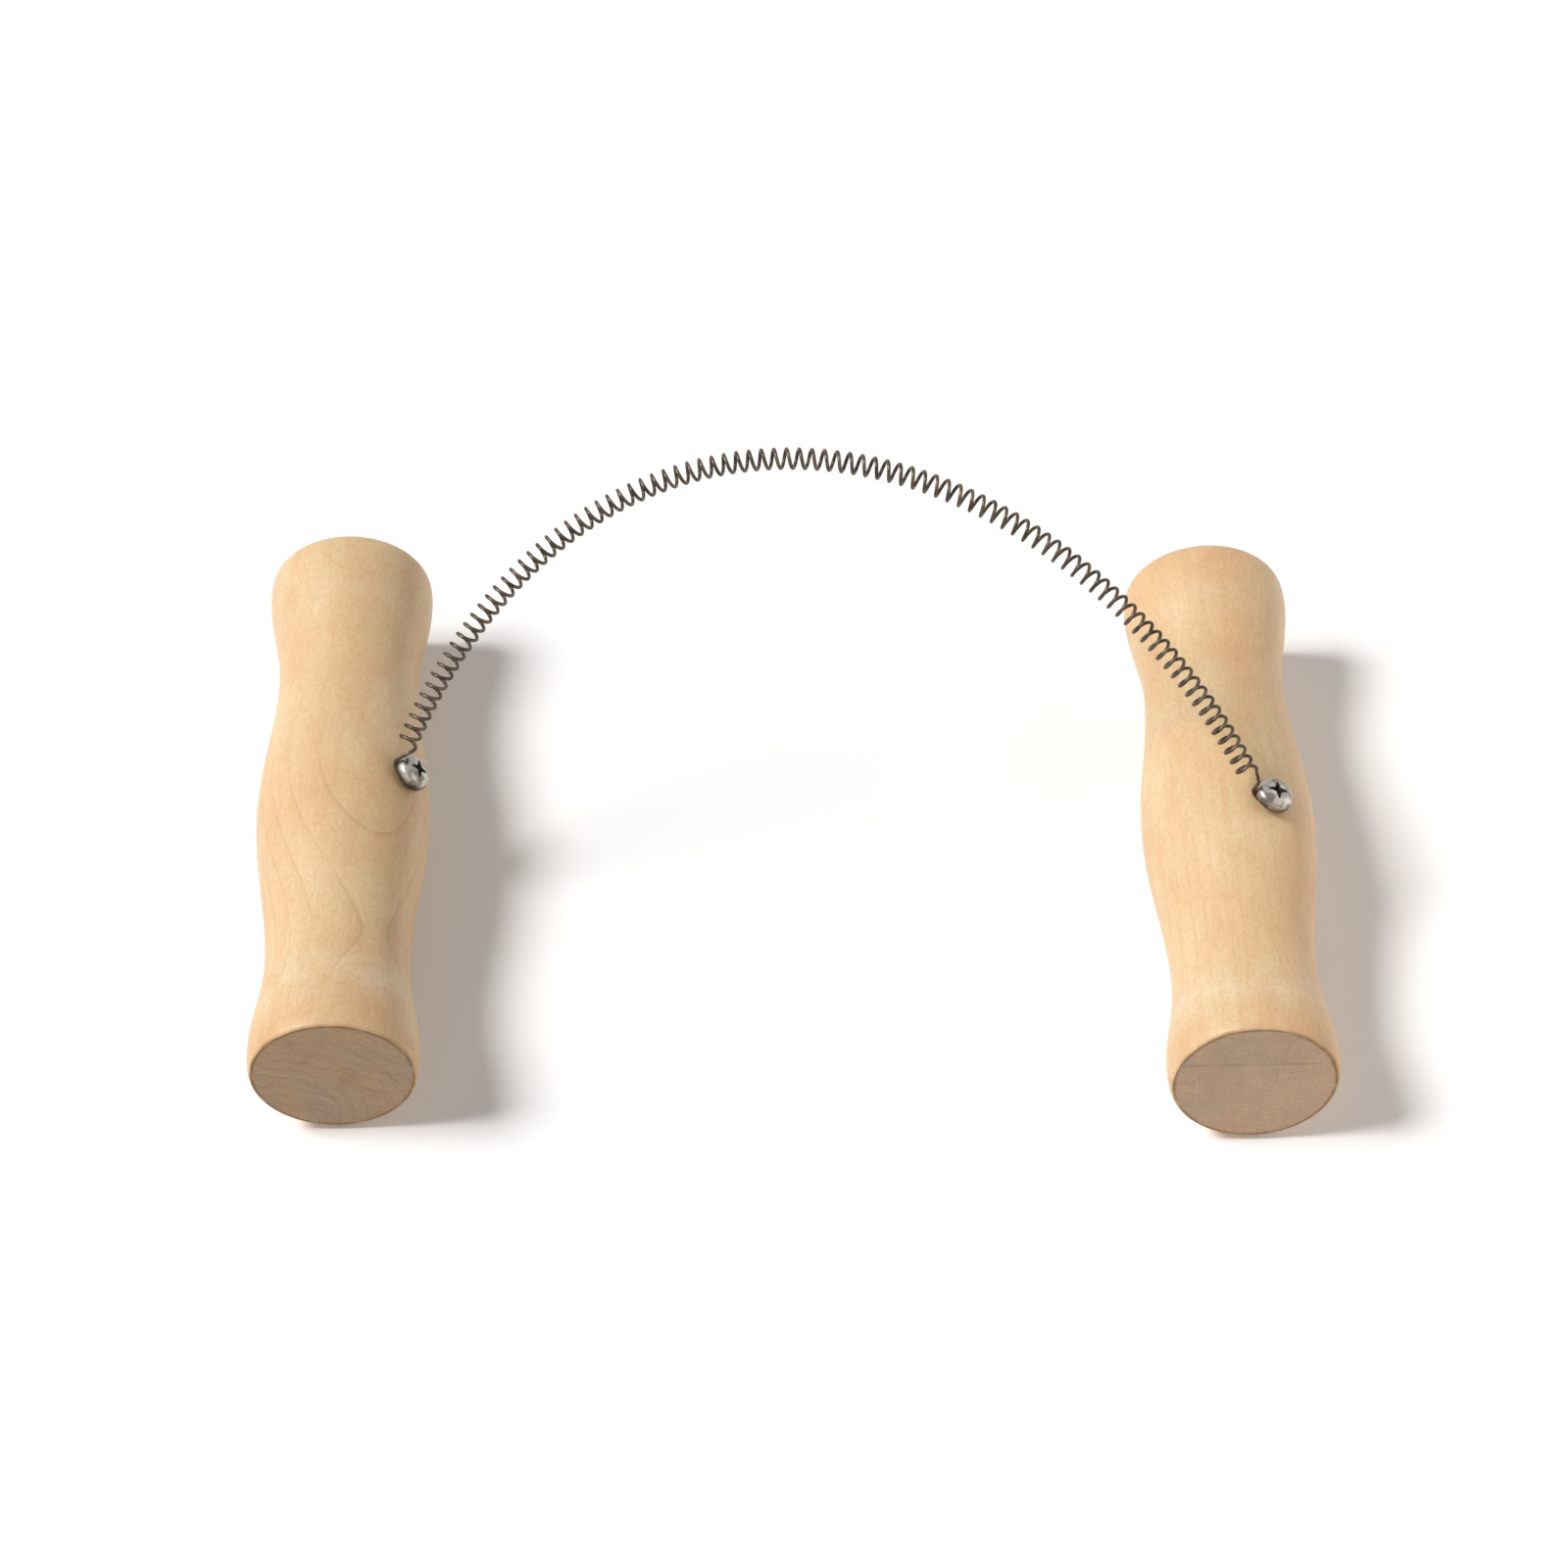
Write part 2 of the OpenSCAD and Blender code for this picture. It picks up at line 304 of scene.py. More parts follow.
def wood_side(side):
    """The turned and sanded skin of one handle."""
    board = BOARDS[side]
    material = new_material("sanded_wood_" + side)
    tree = material.node_tree
    spot = in_board(tree, side)
    # The growth lines show between the near hollow and the belly, and fade out past both.
    along = add(tree, "SeparateXYZ", {0: spot}, out="Y")
    inputs = {"Value": along, "From Min": -8.0, "From Max": 22.0, "To Min": 1.0, "To Max": 0.2}
    near = add(tree, "MapRange", inputs)
    inputs = {"Value": along, "From Min": -48.0, "From Max": -38.0, "To Min": 0.15, "To Max": 1.0}
    inner = add(tree, "MapRange", inputs)
    kept = marks(tree, spot, 8.0, 0.28, 0.50, board["lines"])
    for share in (near, inner, growth_lines(tree, spot, board)):
        kept = add(tree, "Math", {0: kept, 1: share}, operation="MULTIPLY")
    fibre = marks(tree, spot, 0.5, 0.35, 0.75, 0.16, 14.0, 3.0)
    speckle = marks(tree, spot, 0.6, 0.46, 0.66, 0.24, 1.6)
    rim = add(tree, "Attribute", out="Fac", attribute_name="rim")
    end_shade = add(tree, "Attribute", out="Fac", attribute_name="end_shade")
    smudge = marks(tree, spot, 5.0, 0.30, 0.65, 0.8)
    wear_and_sheen = add(tree, "Attribute", out="Fac", attribute_name="wear_and_sheen")
    wear_and_sheen_patches = marks(tree, spot, 6.0, 0.36, 0.60, 0.50)
    layers = (
        (marks(tree, spot, 14.0, 0.32, 0.68, 1.0, 2.2), WOOD_HONEY),
        (marks(tree, spot, 9.0, 0.45, 0.75, 0.7, 1.6), WOOD_ROSE),
        (marks(tree, spot, 1.8, 0.48, 0.70, 0.35, 30.0), WOOD_ROSE),
        # Painted shade in patches, in a band near each end
        (add(tree, "Math", {0: end_shade, 1: smudge}, operation="MULTIPLY"), PAINTED_END_SHADE),
        # Partly wear, partly a painted sheen: a pale band between the hollow and the knob
        (add(tree, "Math", {0: wear_and_sheen, 1: wear_and_sheen_patches}, operation="MULTIPLY"), WEAR_AND_SHEEN),
        (kept, RING_LINE),
        (fibre, FLECK),
        (speckle, FLECK),
        (marks(tree, spot, 0.28, 0.66, 0.74, 0.30, 5.0), FLECK),
        (marks(tree, spot, 1.1, 0.56, 0.80, 0.22, 3.0), WEAR_AND_SHEEN),
        (add(tree, "Math", {0: rim, 1: smudge}, operation="MULTIPLY"), BURNT),
    )
    tone = WOOD_PALE
    for share, colour in layers:
        tone = add(tree, "Mix", {0: share, 6: tone, 7: colour}, 2, data_type="RGBA")
    relief = add(tree, "Math", {0: fibre, 1: speckle}, operation="ADD")
    skin = add(tree, "Bump", {"Height": relief, "Strength": 0.35, "Distance": 0.06 * MM})
    inputs = {"Base Color": tone, "Roughness": 0.45, "Specular IOR Level": 0.42, "Normal": skin}
    add(tree, "OutputMaterial", {"Surface": add(tree, "BsdfPrincipled", inputs)})
    return material


# The same wood sawn across the grain: darker and rougher than the side, greyer where dirt sits in
# the open pores, with slanted saw marks and a brown line where the rim was broken with sandpaper. The
# saw marks are drawn about 0.4 mm wide, coarser than the real ones, so that they show.
END_GREY = linear("#B5A493")
END_BROWN = linear("#94704E")
END_PALE = linear("#D8C4A4")
SCRATCH = linear("#7C6350")


def wood_end(side):
    """The sawn end grain of one handle."""
    look = SAWN_ENDS[side]
    material = new_material("sawn_end_grain_" + side)
    tree = material.node_tree
    spot = in_board(tree, side)
    face = in_millimetres(tree)
    sawn = add(tree, "VectorRotate", {"Vector": face, "Angle": look["saw_lean"]}, rotation_type="Y_AXIS")
    drawn = add(tree, "VectorMath", {0: sawn, 1: SAW_SQUEEZE}, operation="MULTIPLY")
    pores = marks(tree, spot, 0.35, 0.45, 0.75, 0.40)
    lines = growth_lines(tree, spot, BOARDS[side])
    height = add(tree, "SeparateXYZ", {0: face}, out="Z")
    off = add(tree, "Math", {0: height, 1: look["scratch_at"]}, operation="SUBTRACT")
    off = add(tree, "Math", {0: off}, operation="ABSOLUTE")
    inputs = {"Value": off, "From Min": 0.08, "From Max": 0.34, "To Min": look["scratch"], "To Max": 0.0}
    scratch = add(tree, "MapRange", inputs)
    depth = add(tree, "SeparateXYZ", {0: face}, out="Y")
    near_end = add(tree, "Math", {0: depth, 1: 0.0}, operation="LESS_THAN")
    patchy = add(tree, "Math", {0: marks(tree, face, 5.0, 0.30, 0.60), 1: near_end}, operation="MULTIPLY")
    rim = add(tree, "Attribute", out="Fac", attribute_name="rim")
    broken = marks(tree, face, 4.0, 0.25, 0.50, 0.95)
    layers = (
        (marks(tree, face, 9.0, 0.40, 0.70, 0.55), END_GREY),
        (marks(tree, face, 7.0, 0.55, 0.75, 0.5), linear(look["stain"])),
        (add(tree, "Math", {0: lines, 1: look["lines"]}, operation="MULTIPLY"), END_BROWN),
        (add(tree, "Math", {0: scratch, 1: patchy}, operation="MULTIPLY"), SCRATCH),
        (pores, END_BROWN),
        (marks(tree, drawn, 1.0, 0.52, 0.74, look["saw_marks"]), END_BROWN),
        (marks(tree, drawn, 0.8, 0.55, 0.76, look["saw_marks"]), END_PALE),
        (add(tree, "Math", {0: rim, 1: broken}, operation="MULTIPLY"), BURNT),
    )
    tone = linear(look["tan"])
    for share, colour in layers:
        tone = add(tree, "Mix", {0: share, 6: tone, 7: colour}, 2, data_type="RGBA")
    skin = add(tree, "Bump", {"Height": pores, "Strength": 0.5, "Distance": 0.10 * MM})
    inputs = {"Base Color": tone, "Roughness": 0.85, "Specular IOR Level": 0.2, "Normal": skin}
    add(tree, "OutputMaterial", {"Surface": add(tree, "BsdfPrincipled", inputs)})
    return material


# Zinc plated steel, pressed and rolled: bright grey, with a cloudy white bloom that also paints its
# reflections, dark streaks of painted reflection and painted shade under the head. The punched recess has
# thin plating, and holds dry polish, dust and painted shade.
ZINC = linear("#969089")
ZINC_BLOOM_AND_REFLECTION = linear("#BEB8B0")
DARK_REFLECTION_STREAK = linear("#5C5952")
ZINC_PIT = linear("#6E6662")
UNDERSIDE_SHADE = linear("#43342A")
RECESS_DIRT_AND_SHADE = linear("#45413A")
RECESS_DUST_AND_SHADE = linear("#686156")

# Drawn spring wire, uncoated: dark grey brown steel with a film of dry oil. The marks of the die are
# drawn 0.25 mm wide, coarser than the real ones, so that they show.
WIRE_DARK = linear("#3E342B")
WIRE_OILED = linear("#6C5F52")

WHITE = linear("#FFFFFF")
BLACK = linear("#000000")
CARD_WHITE = linear("#FFF3EA")


def plated_steel():
    """The zinc plated outside of a screw."""
    material = new_material("zinc_plated_steel")
    tree = material.node_tree
    spot = in_millimetres(tree)
    # Pale cloudy bloom of the zinc, which also paints the light and dark reflections on the head
    bloom_and_reflection = marks(tree, spot, 2.4, 0.38, 0.62)
    pits = marks(tree, spot, 0.22, 0.60, 0.80, 0.25)
    layers = (
        (bloom_and_reflection, ZINC_BLOOM_AND_REFLECTION),
        # Painted reflections: dark streaks standing for darker surroundings mirrored in the head
        (marks(tree, spot, 2.2, 0.50, 0.62, 0.75, 1.0, 1.0), DARK_REFLECTION_STREAK),
        (pits, ZINC_PIT),
        # Painted shade under the head and at the top of the shank
        (add(tree, "Attribute", out="Fac", attribute_name="underside_shade"), UNDERSIDE_SHADE),
    )
    tone = ZINC
    for share, colour in layers:
        tone = add(tree, "Mix", {0: share, 6: tone, 7: colour}, 2, data_type="RGBA")
    rough = add(tree, "MapRange", {"Value": bloom_and_reflection, "To Min": 0.22, "To Max": 0.32})
    skin = add(tree, "Bump", {"Height": pits, "Strength": 0.25, "Distance": 0.01 * MM})
    inputs = {"Base Color": tone, "Metallic": 1.0, "Roughness": rough, "Normal": skin}
    add(tree, "OutputMaterial", {"Surface": add(tree, "BsdfPrincipled", inputs)})
    return material


def punched_steel():
    """The walls of the punched recess, darkened with dirt and painted shade."""
    material = new_material("punched_steel_dirt_and_shade")
    tree = material.node_tree
    dust = marks(tree, in_millimetres(tree), 0.4, 0.35, 0.70)
    # Dark dirt and painted shade in the recess, lighter where dust sits
    inputs = {0: dust, 6: RECESS_DIRT_AND_SHADE, 7: RECESS_DUST_AND_SHADE}
    tone = add(tree, "Mix", inputs, 2, data_type="RGBA")
    inputs = {"Base Color": tone, "Metallic": 0.6, "Roughness": 0.6}
    add(tree, "OutputMaterial", {"Surface": add(tree, "BsdfPrincipled", inputs)})
    return material


def spring_steel():
    """The spring wire."""
    material = new_material("drawn_spring_steel")
    tree = material.node_tree
    spot = in_millimetres(tree)
    oil = marks(tree, spot, 2.4, 0.30, 0.70, 1.0, 1.0, 3.0)
    scuffs = marks(tree, spot, 0.25, 0.40, 0.75)
    inputs = {0: oil, 6: WIRE_DARK, 7: WIRE_OILED}
    tone = add(tree, "Mix", inputs, 2, data_type="RGBA")
    rough = add(tree, "MapRange", {"Value": oil, "To Min": 0.26, "To Max": 0.42})
    skin = add(tree, "Bump", {"Height": scuffs, "Strength": 0.3, "Distance": 0.01 * MM})
    inputs = {"Base Color": tone, "Metallic": 1.0, "Roughness": rough, "Normal": skin}
    add(tree, "OutputMaterial", {"Surface": add(tree, "BsdfPrincipled", inputs)})
    return material


def put(name, data):
    """Adds an object with its data to the scene."""
    thing = bpy.data.objects.new(name, data)
    bpy.context.scene.collection.objects.link(thing)
    return thing


def place_camera():
    """Looks at the tool as the photograph does."""
    camera = put("camera", bpy.data.cameras.new("camera"))
    camera.data.sensor_width = SENSOR_MM
    camera.data.lens = SENSOR_MM * FOCAL_PX / IMAGE_PX
    camera.data.clip_start = NEAREST_SEEN
    camera.data.clip_end = FARTHEST_SEEN
    camera.location = CAMERA_AT
    camera.rotation_euler = (LOOK_AT - CAMERA_AT).to_track_quat("-Z", "Y").to_euler()
    bpy.context.scene.camera = camera


def eye_of_viewer(tree):
    """1 for camera, mirror and glass rays, 0 for the light that falls on things."""
    seen = add(tree, "LightPath", out="Is Camera Ray")
    for ray in ("Is Glossy Ray", "Is Transmission Ray"):
        seen = add(tree, "Math", {0: seen, 1: add(tree, "LightPath", out=ray)}, operation="MAXIMUM")
    return seen


def light_studio():
    """One far soft lamp at the left, a white card at the right, and a dim pale room."""
    world = bpy.data.worlds.new("studio")
    world.use_nodes = True
    tree = world.node_tree
    tree.nodes.clear()
    strength = add(tree, "MapRange", {"Value": eye_of_viewer(tree), "To Min": ROOM_LIGHT, "To Max": 1.0})
    sky = add(tree, "Background", {"Color": WHITE, "Strength": strength})
    add(tree, "OutputWorld", {"Surface": sky})
    bpy.context.scene.world = world

    from_left = Vector((-math.cos(LAMP_HEIGHT), 0.0, math.sin(LAMP_HEIGHT)))
    lamp = put("soft_lamp", bpy.data.lights.new("soft_lamp", "SUN"))
    lamp.data.angle = LAMP_WIDTH
    lamp.data.energy = LAMP_STRENGTH
    lamp.location = from_left
    lamp.rotation_euler = (-from_left).to_track_quat("-Z", "Y").to_euler()

    card = put("white_card", bpy.data.lights.new("white_card", "AREA"))
    card.data.size = CARD_SIZE
    card.data.energy = CARD_WATTS
    card.data.color = CARD_WHITE[:3]
    card.location = CARD_AT
    card.rotation_euler = (CARD_AIM - CARD_AT).to_track_quat("-Z", "Y").to_euler()
    card.visible_camera = False


def lay_table():
    """A plain white table that keeps the shadow."""
    table = bmesh.new()
    bmesh.ops.create_grid(table, x_segments=1, y_segments=1, size=TABLE_HALF)
    material = new_material("white_table")
    tree = material.node_tree
    matt = add(tree, "BsdfDiffuse", {"Color": WHITE})
    glow = add(tree, "Emission", {"Color": WHITE, "Strength": TABLE_GLOW})
    none = add(tree, "Emission", {"Color": BLACK, "Strength": 0.0})
    seen = add(tree, "MixShader", {0: eye_of_viewer(tree), 1: none, 2: glow})
    add(tree, "OutputMaterial", {"Surface": add(tree, "AddShader", {0: matt, 1: seen})})
    finish_mesh("table", table, [material])


def finish_mesh(name, shape, materials):
    """Turns a bmesh into an object that lies in its place."""
    mesh = bpy.data.meshes.new(name)
    shape.to_mesh(mesh)
    shape.free()
    for material in materials:
        mesh.materials.append(material)
    return put(name, mesh)


def mesh_of(piece):
    """A new mesh of a curve, or of a piece with its modifiers applied."""
    bpy.context.view_layer.update()
    shown = piece.evaluated_get(bpy.context.evaluated_depsgraph_get())
    return bpy.data.meshes.new_from_object(shown)


def ease(a, b, share):
    """A smooth step from a to b."""
    return a + (b - a) * (1 - math.cos(math.pi * share)) / 2


def handle_r(z, knob_at):
    """Radius of a handle at the distance z from its middle."""
    if z < HOLLOW_AT:
        return ease(BELLY_R, HOLLOW_R, z / HOLLOW_AT)
    if z < knob_at:
        return ease(HOLLOW_R, KNOB_R, (z - HOLLOW_AT) / (knob_at - HOLLOW_AT))
    share = min(1.0, (z - knob_at) / END_ROUND)
    return FACE_R + (KNOB_R - FACE_R) * math.sqrt(max(0.0, 1 - share ** 2))


def handle_outline(half_len):
    """Half of a handle's outline as (radius, distance from the middle)."""
    knob_at = half_len - END_ROUND
    steps = round(knob_at / PROFILE_STEP)
    body = [knob_at * i / steps for i in range(steps)]
    rim = [knob_at + END_ROUND * math.sin(math.pi / 2 * i / RIM_STEPS) for i in range(RIM_STEPS + 1)]
    return [(handle_r(z, knob_at), z) for z in body + rim]


def spin_outline(outline, centre, axis, first_side, steps):
    """Spins a line of (radius, height) points round an axis into a closed skin."""
    shape = bmesh.new()
    verts = [shape.verts.new(centre + first_side * r + axis * z) for r, z in outline]
    edges = [shape.edges.new(pair) for pair in zip(verts, verts[1:])]
    bmesh.ops.spin(
        shape, geom=verts + edges, cent=centre, axis=axis, angle=math.tau, steps=steps, use_merge=True
    )
    bmesh.ops.remove_doubles(shape, verts=shape.verts, dist=SAME_PLACE)
    bmesh.ops.recalc_face_normals(shape, faces=shape.faces)
    return shape


def turned_handle(side, materials):
    """A handle turned on a lathe and sawn flat at both ends."""
    low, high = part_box(side + "_handle")
    half_len = (high.y - low.y) / 2
    centre = handle_middle(side)
    half = handle_outline(half_len) + [(FACE_R - RIM_BAND, half_len), (0.0, half_len)]
    outline = [(r, -z) for r, z in half[:0:-1]] + half
    shape = spin_outline(outline, centre, ALONG, -UP, TURN_STEPS)
    rim = shape.verts.layers.float.new("rim")
    end_shade = shape.verts.layers.float.new("end_shade")
    wear_and_sheen = shape.verts.layers.float.new("wear_and_sheen")
    for vert in shape.verts:
        out = vert.co - centre
        from_edge = math.hypot(half_len - abs(out.y), FACE_R - math.hypot(out.x, out.z))
        vert[rim] = max(0.0, 1 - from_edge / RIM_BAND)
        from_end = half_len - abs(out.y)
        # The near end gets all of the painted shade and sheen, the far end less
        end_share = 1.0 if out.y < 0 else FAR_END_SHARE
        # Painted shade in a band at each end
        vert[end_shade] = end_share * max(0.0, 1 - from_end / END_SHADE_BAND)
        # Wear and a painted sheen in a band between the hollow and the knob
        vert[wear_and_sheen] = end_share * max(0.0, 1 - abs(from_end - WEAR_AND_SHEEN_AT) / WEAR_AND_SHEEN_BAND)
    for face in shape.faces:
        face.smooth = True
        away = abs(face.calc_center_median().y - centre.y)
        face.material_index = 1 if away > half_len - SAME_PLACE else 0
    for vert in shape.verts:
        near = max(0.0, 1 - (half_len + vert.co.y - centre.y) / LEAN_REACH)
        vert.co.y += near * OUT_OF_SQUARE[side] * vert.co.z / (2 * BELLY_R)
    handle = finish_mesh(side + "_turned_handle", shape, materials)
    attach(handle, side + "_grip")
    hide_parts(side + "_handle")


def seat(joint):
    """Where a screw stands on the wood: x downhill, y along the handle, z out of the wood."""
    out = Vector(joint["axis"])
    place = Matrix((ALONG.cross(out), ALONG, out)).transposed().to_4x4()
    place.translation = joint["pos_m"]
    return place


def bezier(a, b, c, d, t):
    """A point of a cubic curve."""
    u = 1 - t
    return a * u ** 3 + b * 3 * t * u * u + c * 3 * t * t * u + d * t ** 3


def bezier_way(a, b, c, d, t):
    """The direction of a cubic curve."""
    u = 1 - t
    return ((b - a) * u * u + (c - b) * 2 * t * u + (d - c) * t * t).normalized()


def arch_up():
    """The direction in which the arch rises: up and leaning back."""
    return Vector((0, math.sin(ARCH_LEAN), math.cos(ARCH_LEAN)))


def arch_corners(left, right):
    """The four corner points of the cubic curve that the coil follows."""
    up = arch_up() * ARCH_RISE * 4 / 3
    start = left @ LEFT_COIL_AT
    end = right @ RIGHT_COIL_AT
    return start, start + Vector((LEFT_LEAD_IN, 0, 0)) + up, end - Vector((RIGHT_LEAD_IN, 0, 0)) + up, end


def even_stations(corners, count):
    """Places on the arch that are equally far apart along it."""
    steps = [bezier(*corners, i / ARCH_STEPS) for i in range(ARCH_STEPS + 1)]
    reached = [0.0]
    for a, b in zip(steps, steps[1:]):
        reached.append(reached[-1] + (b - a).length)
    stations = []
    step = 0
    for i in range(count + 1):
        goal = reached[-1] * i / count
        while step < ARCH_STEPS - 1 and reached[step + 1] < goal:
            step += 1
        past = (goal - reached[step]) / (reached[step + 1] - reached[step])
        stations.append((step + past) / ARCH_STEPS)
    return stations


def coil_curls(corners):
    """The middle line of the coil, curl after curl, right handed about the arch."""
    side = (corners[3] - corners[0]).cross(arch_up()).normalized()
    turn = CURLS * math.tau + (COIL_END - COIL_START) % math.tau
    count = round(POINTS_ON_CURL * turn / math.tau)
    line = []
    for i, t in enumerate(even_stations(corners, count)):
        way = bezier_way(*corners, t)
        out = side.cross(way).normalized()
        across = way.cross(out) + way * math.tan(CURL_LEAN)
        angle = COIL_START + turn * i / count
        ray = out * math.cos(angle) + across * math.sin(angle)
        line.append(bezier(*corners, t) + ray * COIL_R)
    return line


def eye_line(place, riser):
    """The middle line of an eye: round the shank, past the edge of the head, and up the riser."""
    hug = math.acos(EYE_R / RISER_REACH)
    run = math.sqrt(RISER_REACH ** 2 - EYE_R ** 2) - RISER_BEND
    turned = place @ Matrix.Rotation(riser + hug, 4, "Z")
    line = []
    for i in range(EYE_STEPS + 1):
        angle = EYE_WRAP * (1 - i / EYE_STEPS)
        line.append(Vector((EYE_R * math.cos(angle), EYE_R * math.sin(angle), EYE_H)))
    for i in range(BEND_STEPS + 1):
        angle = math.pi / 2 * i / BEND_STEPS
        reach = run + RISER_BEND * math.sin(angle)
        line.append(Vector((EYE_R, -reach, EYE_H + RISER_BEND * (1 - math.cos(angle)))))
    line.append(Vector((EYE_R, -run - RISER_BEND, EYE_H + RISER_BEND + RISER_LEN)))
    return [turned @ point for point in line]


def join(a, a_way, b, b_way):
    """A smooth stretch of wire between an eye and the coil."""
    corners = (a, a + a_way * JOIN_PULL, b - b_way * JOIN_PULL, b)
    return [bezier(*corners, i / POINTS_ON_CURL) for i in range(1, POINTS_ON_CURL)]


def draw_wire(name, line, material):
    """One round tube along a line of points."""
    curve = bpy.data.curves.new(name, "CURVE")
    curve.dimensions = "3D"
    curve.bevel_depth = WIRE_R
    curve.bevel_resolution = 3
    curve.use_fill_caps = True
    spline = curve.splines.new("POLY")
    spline.points.add(len(line) - 1)
    for point, at in zip(spline.points, line):
        point.co = (*at, 1.0)
    drawn = put(name + "_curve", curve)
    mesh = mesh_of(drawn)
    bpy.data.objects.remove(drawn)
    mesh.name = name
    mesh.materials.clear()
    mesh.materials.append(material)
    for face in mesh.polygons:
        face.use_smooth = True
    return put(name, mesh)


def coiled_wire(material):
    """The whole wire, as two halves that meet at the top of the arch."""
    left = seat(joints["left_swivel"])
    right = seat(joints["right_swivel"])
    corners = arch_corners(left, right)
    coil = coil_curls(corners)
    left_eye = eye_line(left, LEFT_RISER)
    right_eye = eye_line(right, RIGHT_RISER)
    first_way = (coil[1] - coil[0]).normalized()
    last_way = (coil[-1] - coil[-2]).normalized()
    left_up = left.to_3x3() @ UP
    right_up = right.to_3x3() @ UP
    left_run = left_eye[-1] + left_up * 2 * WIRE_R
    right_run = right_eye[-1] + right_up * 2 * WIRE_R
    rising = left_eye + [left_run] + join(left_run, left_up, coil[0], first_way)
    falling = join(coil[-1], last_way, right_run, -right_up) + [right_run] + right_eye[::-1]
    middle = len(coil) // 2
    left_half = draw_wire("coiled_wire_left", rising + coil[:middle + 1], material)
    right_half = draw_wire("coiled_wire_right", coil[middle:] + falling, material)
    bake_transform(left_half)
    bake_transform(right_half)
    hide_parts("wire_left_eye", "wire_coil")
    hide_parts("wire_right_eye", "wire_coil")


def head_outline():
    """Half a pan head above its flat underside: a round shoulder and a low crown."""
    line = []
    for i in range(HEAD_STEPS):
        angle = math.pi / 2 * i / HEAD_STEPS
        side = HEAD_R * math.cos(angle) ** (2 / HEAD_SHAPE)
        rise = math.sin(angle) ** (2 / HEAD_SHAPE)
        line.append((side, HEAD_H * (HEAD_SHOULDER + (1 - HEAD_SHOULDER) * rise)))
    return [(HEAD_R - HEAD_EDGE, 0.0), (HEAD_R, HEAD_EDGE)] + line + [(0.0, HEAD_H)]


def cross_recess():
    """The tapered pit of a cross recess, to be cut from a head that ends at z = 0."""
    mouth = []
    for i in range(4):
        quarter = Matrix.Rotation(math.pi / 2 * i, 3, "Z")
        for across in (-RECESS_ARM, RECESS_ARM):
            mouth.append(quarter @ Vector((RECESS_R, across, RECESS_TOP)))
        mouth.append(quarter @ Vector((RECESS_CORNER, RECESS_CORNER, RECESS_TOP)))
    pit = bmesh.new()
    top = pit.faces.new([pit.verts.new(corner) for corner in mouth])
    floor = bmesh.ops.extrude_face_region(pit, geom=[top])
    deep = [part for part in floor["geom"] if isinstance(part, bmesh.types.BMVert)]
    bmesh.ops.translate(pit, verts=deep, vec=(0, 0, -RECESS_DEPTH - RECESS_TOP))
    bmesh.ops.scale(pit, verts=deep, vec=(RECESS_TAPER, RECESS_TAPER, 1.0))
    bmesh.ops.recalc_face_normals(pit, faces=pit.faces)
    for face in pit.faces:
        face.material_index = 1
    return pit


def cut(piece, tool, place):
    """Cuts a bmesh tool out of a piece, at a place, and gives the cut its own finish."""
    knife = finish_mesh("knife", tool, piece.data.materials)
    knife.data.transform(place)
    cutter = piece.modifiers.new("cut", "BOOLEAN")
    cutter.operation = "DIFFERENCE"
    cutter.solver = "EXACT"
    cutter.object = knife
    cut_mesh = mesh_of(piece)
    piece.modifiers.clear()
    piece.data = cut_mesh
    bpy.data.objects.remove(knife)


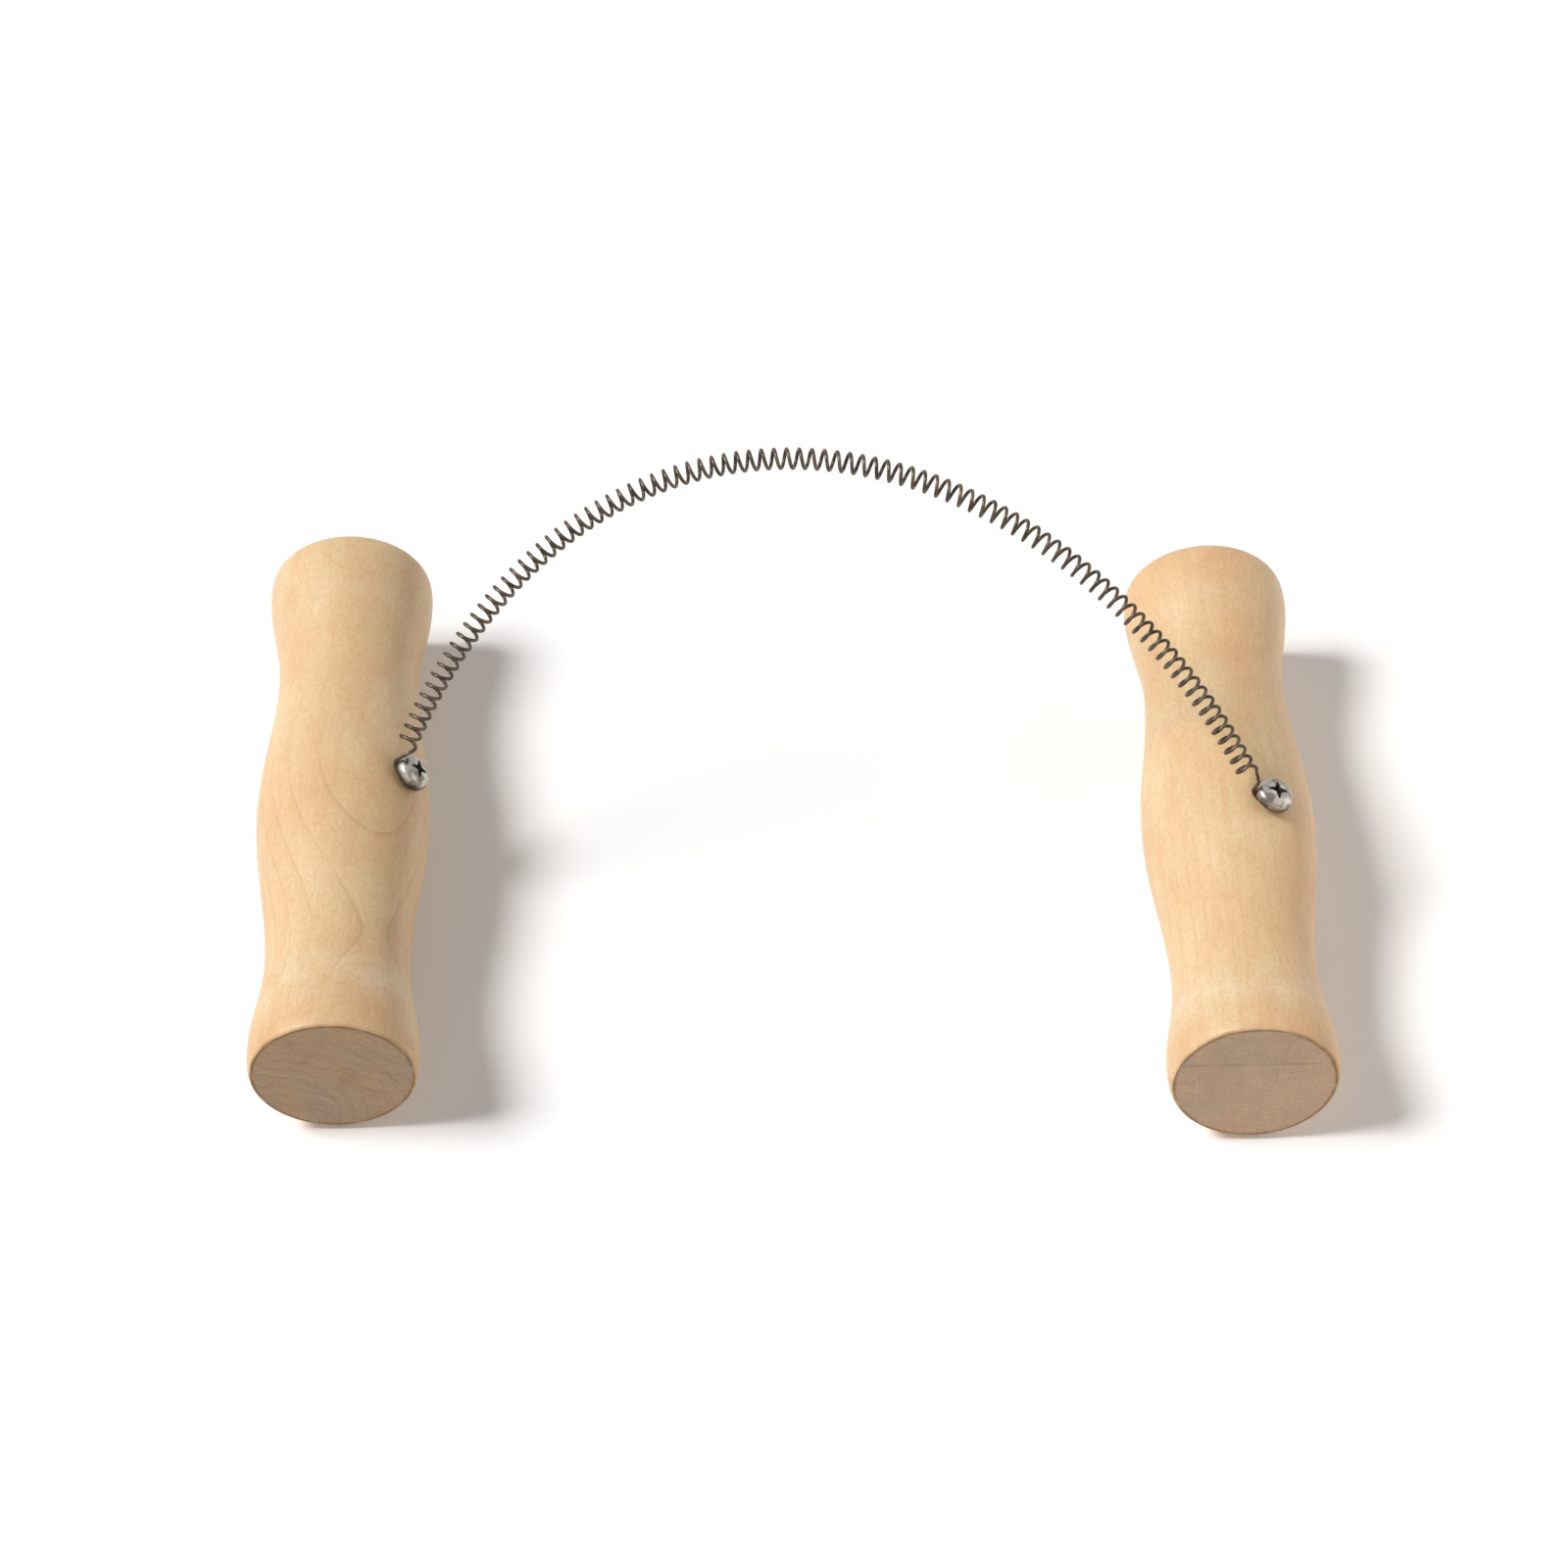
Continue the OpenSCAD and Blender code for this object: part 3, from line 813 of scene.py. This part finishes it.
def wind_thread(screw):
    """Winds a sharp ridge round the core of a screw, from its neck to where its tip begins."""
    shape = bmesh.new()
    shape.from_mesh(screw.data)
    turns = (SHANK_LEN - NECK_LEN - TIP_LEN) / THREAD_PITCH
    steps = round(turns * THREAD_STEPS)
    start = TIP_LEN - SHANK_LEN - THREAD_RUN_ON * THREAD_PITCH
    sunk = CORE_R - THREAD_SINK
    section = ((sunk, -THREAD_HALF), (SHANK_R, 0.0), (sunk, THREAD_HALF))
    verts = [shape.verts.new((r, 0, start + z * THREAD_PITCH)) for r, z in section]
    edges = [shape.edges.new((verts[i - 1], verts[i])) for i in range(3)]
    bmesh.ops.spin(
        shape, geom=verts + edges, cent=(0, 0, 0), axis=(0, 0, 1), dvec=(0, 0, THREAD_PITCH / THREAD_STEPS),
        angle=math.tau * steps / THREAD_STEPS, steps=steps
    )
    open_ends = [edge for edge in shape.edges if edge.is_boundary]
    bmesh.ops.holes_fill(shape, edges=open_ends, sides=3)
    bmesh.ops.recalc_face_normals(shape, faces=shape.faces)
    shape.to_mesh(screw.data)
    shape.free()


def wood_screw(side, turn, materials):
    """A cross recess pan head screw with a threaded shank, standing in its seat."""
    place = seat(joints[side + "_swivel"]) @ Matrix.Translation((0, 0, SEAT_H))
    outline = [
        (0.0, -SHANK_LEN),
        (CORE_R, TIP_LEN - SHANK_LEN),
        (CORE_R, -NECK_LEN - NECK_SLOPE),
        (SHANK_R, -NECK_LEN),
        (SHANK_R, -HEAD_FILLET),
        (SHANK_R + HEAD_FILLET, 0.0),
    ] + head_outline()
    shape = spin_outline(outline, Vector(), UP, Vector((1, 0, 0)), SCREW_TURN_STEPS)
    underside_shade = shape.verts.layers.float.new("underside_shade")
    # Painted shade near the head's underside
    for vert in shape.verts:
        vert[underside_shade] = max(0.0, 1 - abs(vert.co.z) / UNDERSIDE_SHADE_BAND)
    screw = finish_mesh(side + "_cross_recess_screw", shape, materials)
    cut(screw, cross_recess(), Matrix.Translation((0, 0, HEAD_H)) @ Matrix.Rotation(turn, 4, "Z"))
    wind_thread(screw)
    for face in screw.data.polygons:
        face.use_smooth = True
    screw.data.set_sharp_from_angle(angle=SHARP_ANGLE)
    screw.data.transform(place)
    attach(screw, side + "_grip")
    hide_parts(side + "_screw")


place_camera()
light_studio()
lay_table()

woods = {side: [wood_side(side), wood_end(side)] for side in ("left", "right")}
screw_metals = [plated_steel(), punched_steel()]
steel = spring_steel()

for side in ("left", "right"):
    turned_handle(side, woods[side])
    wood_screw(side, RECESS_TURN[side], screw_metals)
coiled_wire(steel)

bpy.context.scene.view_settings.view_transform = "Standard"
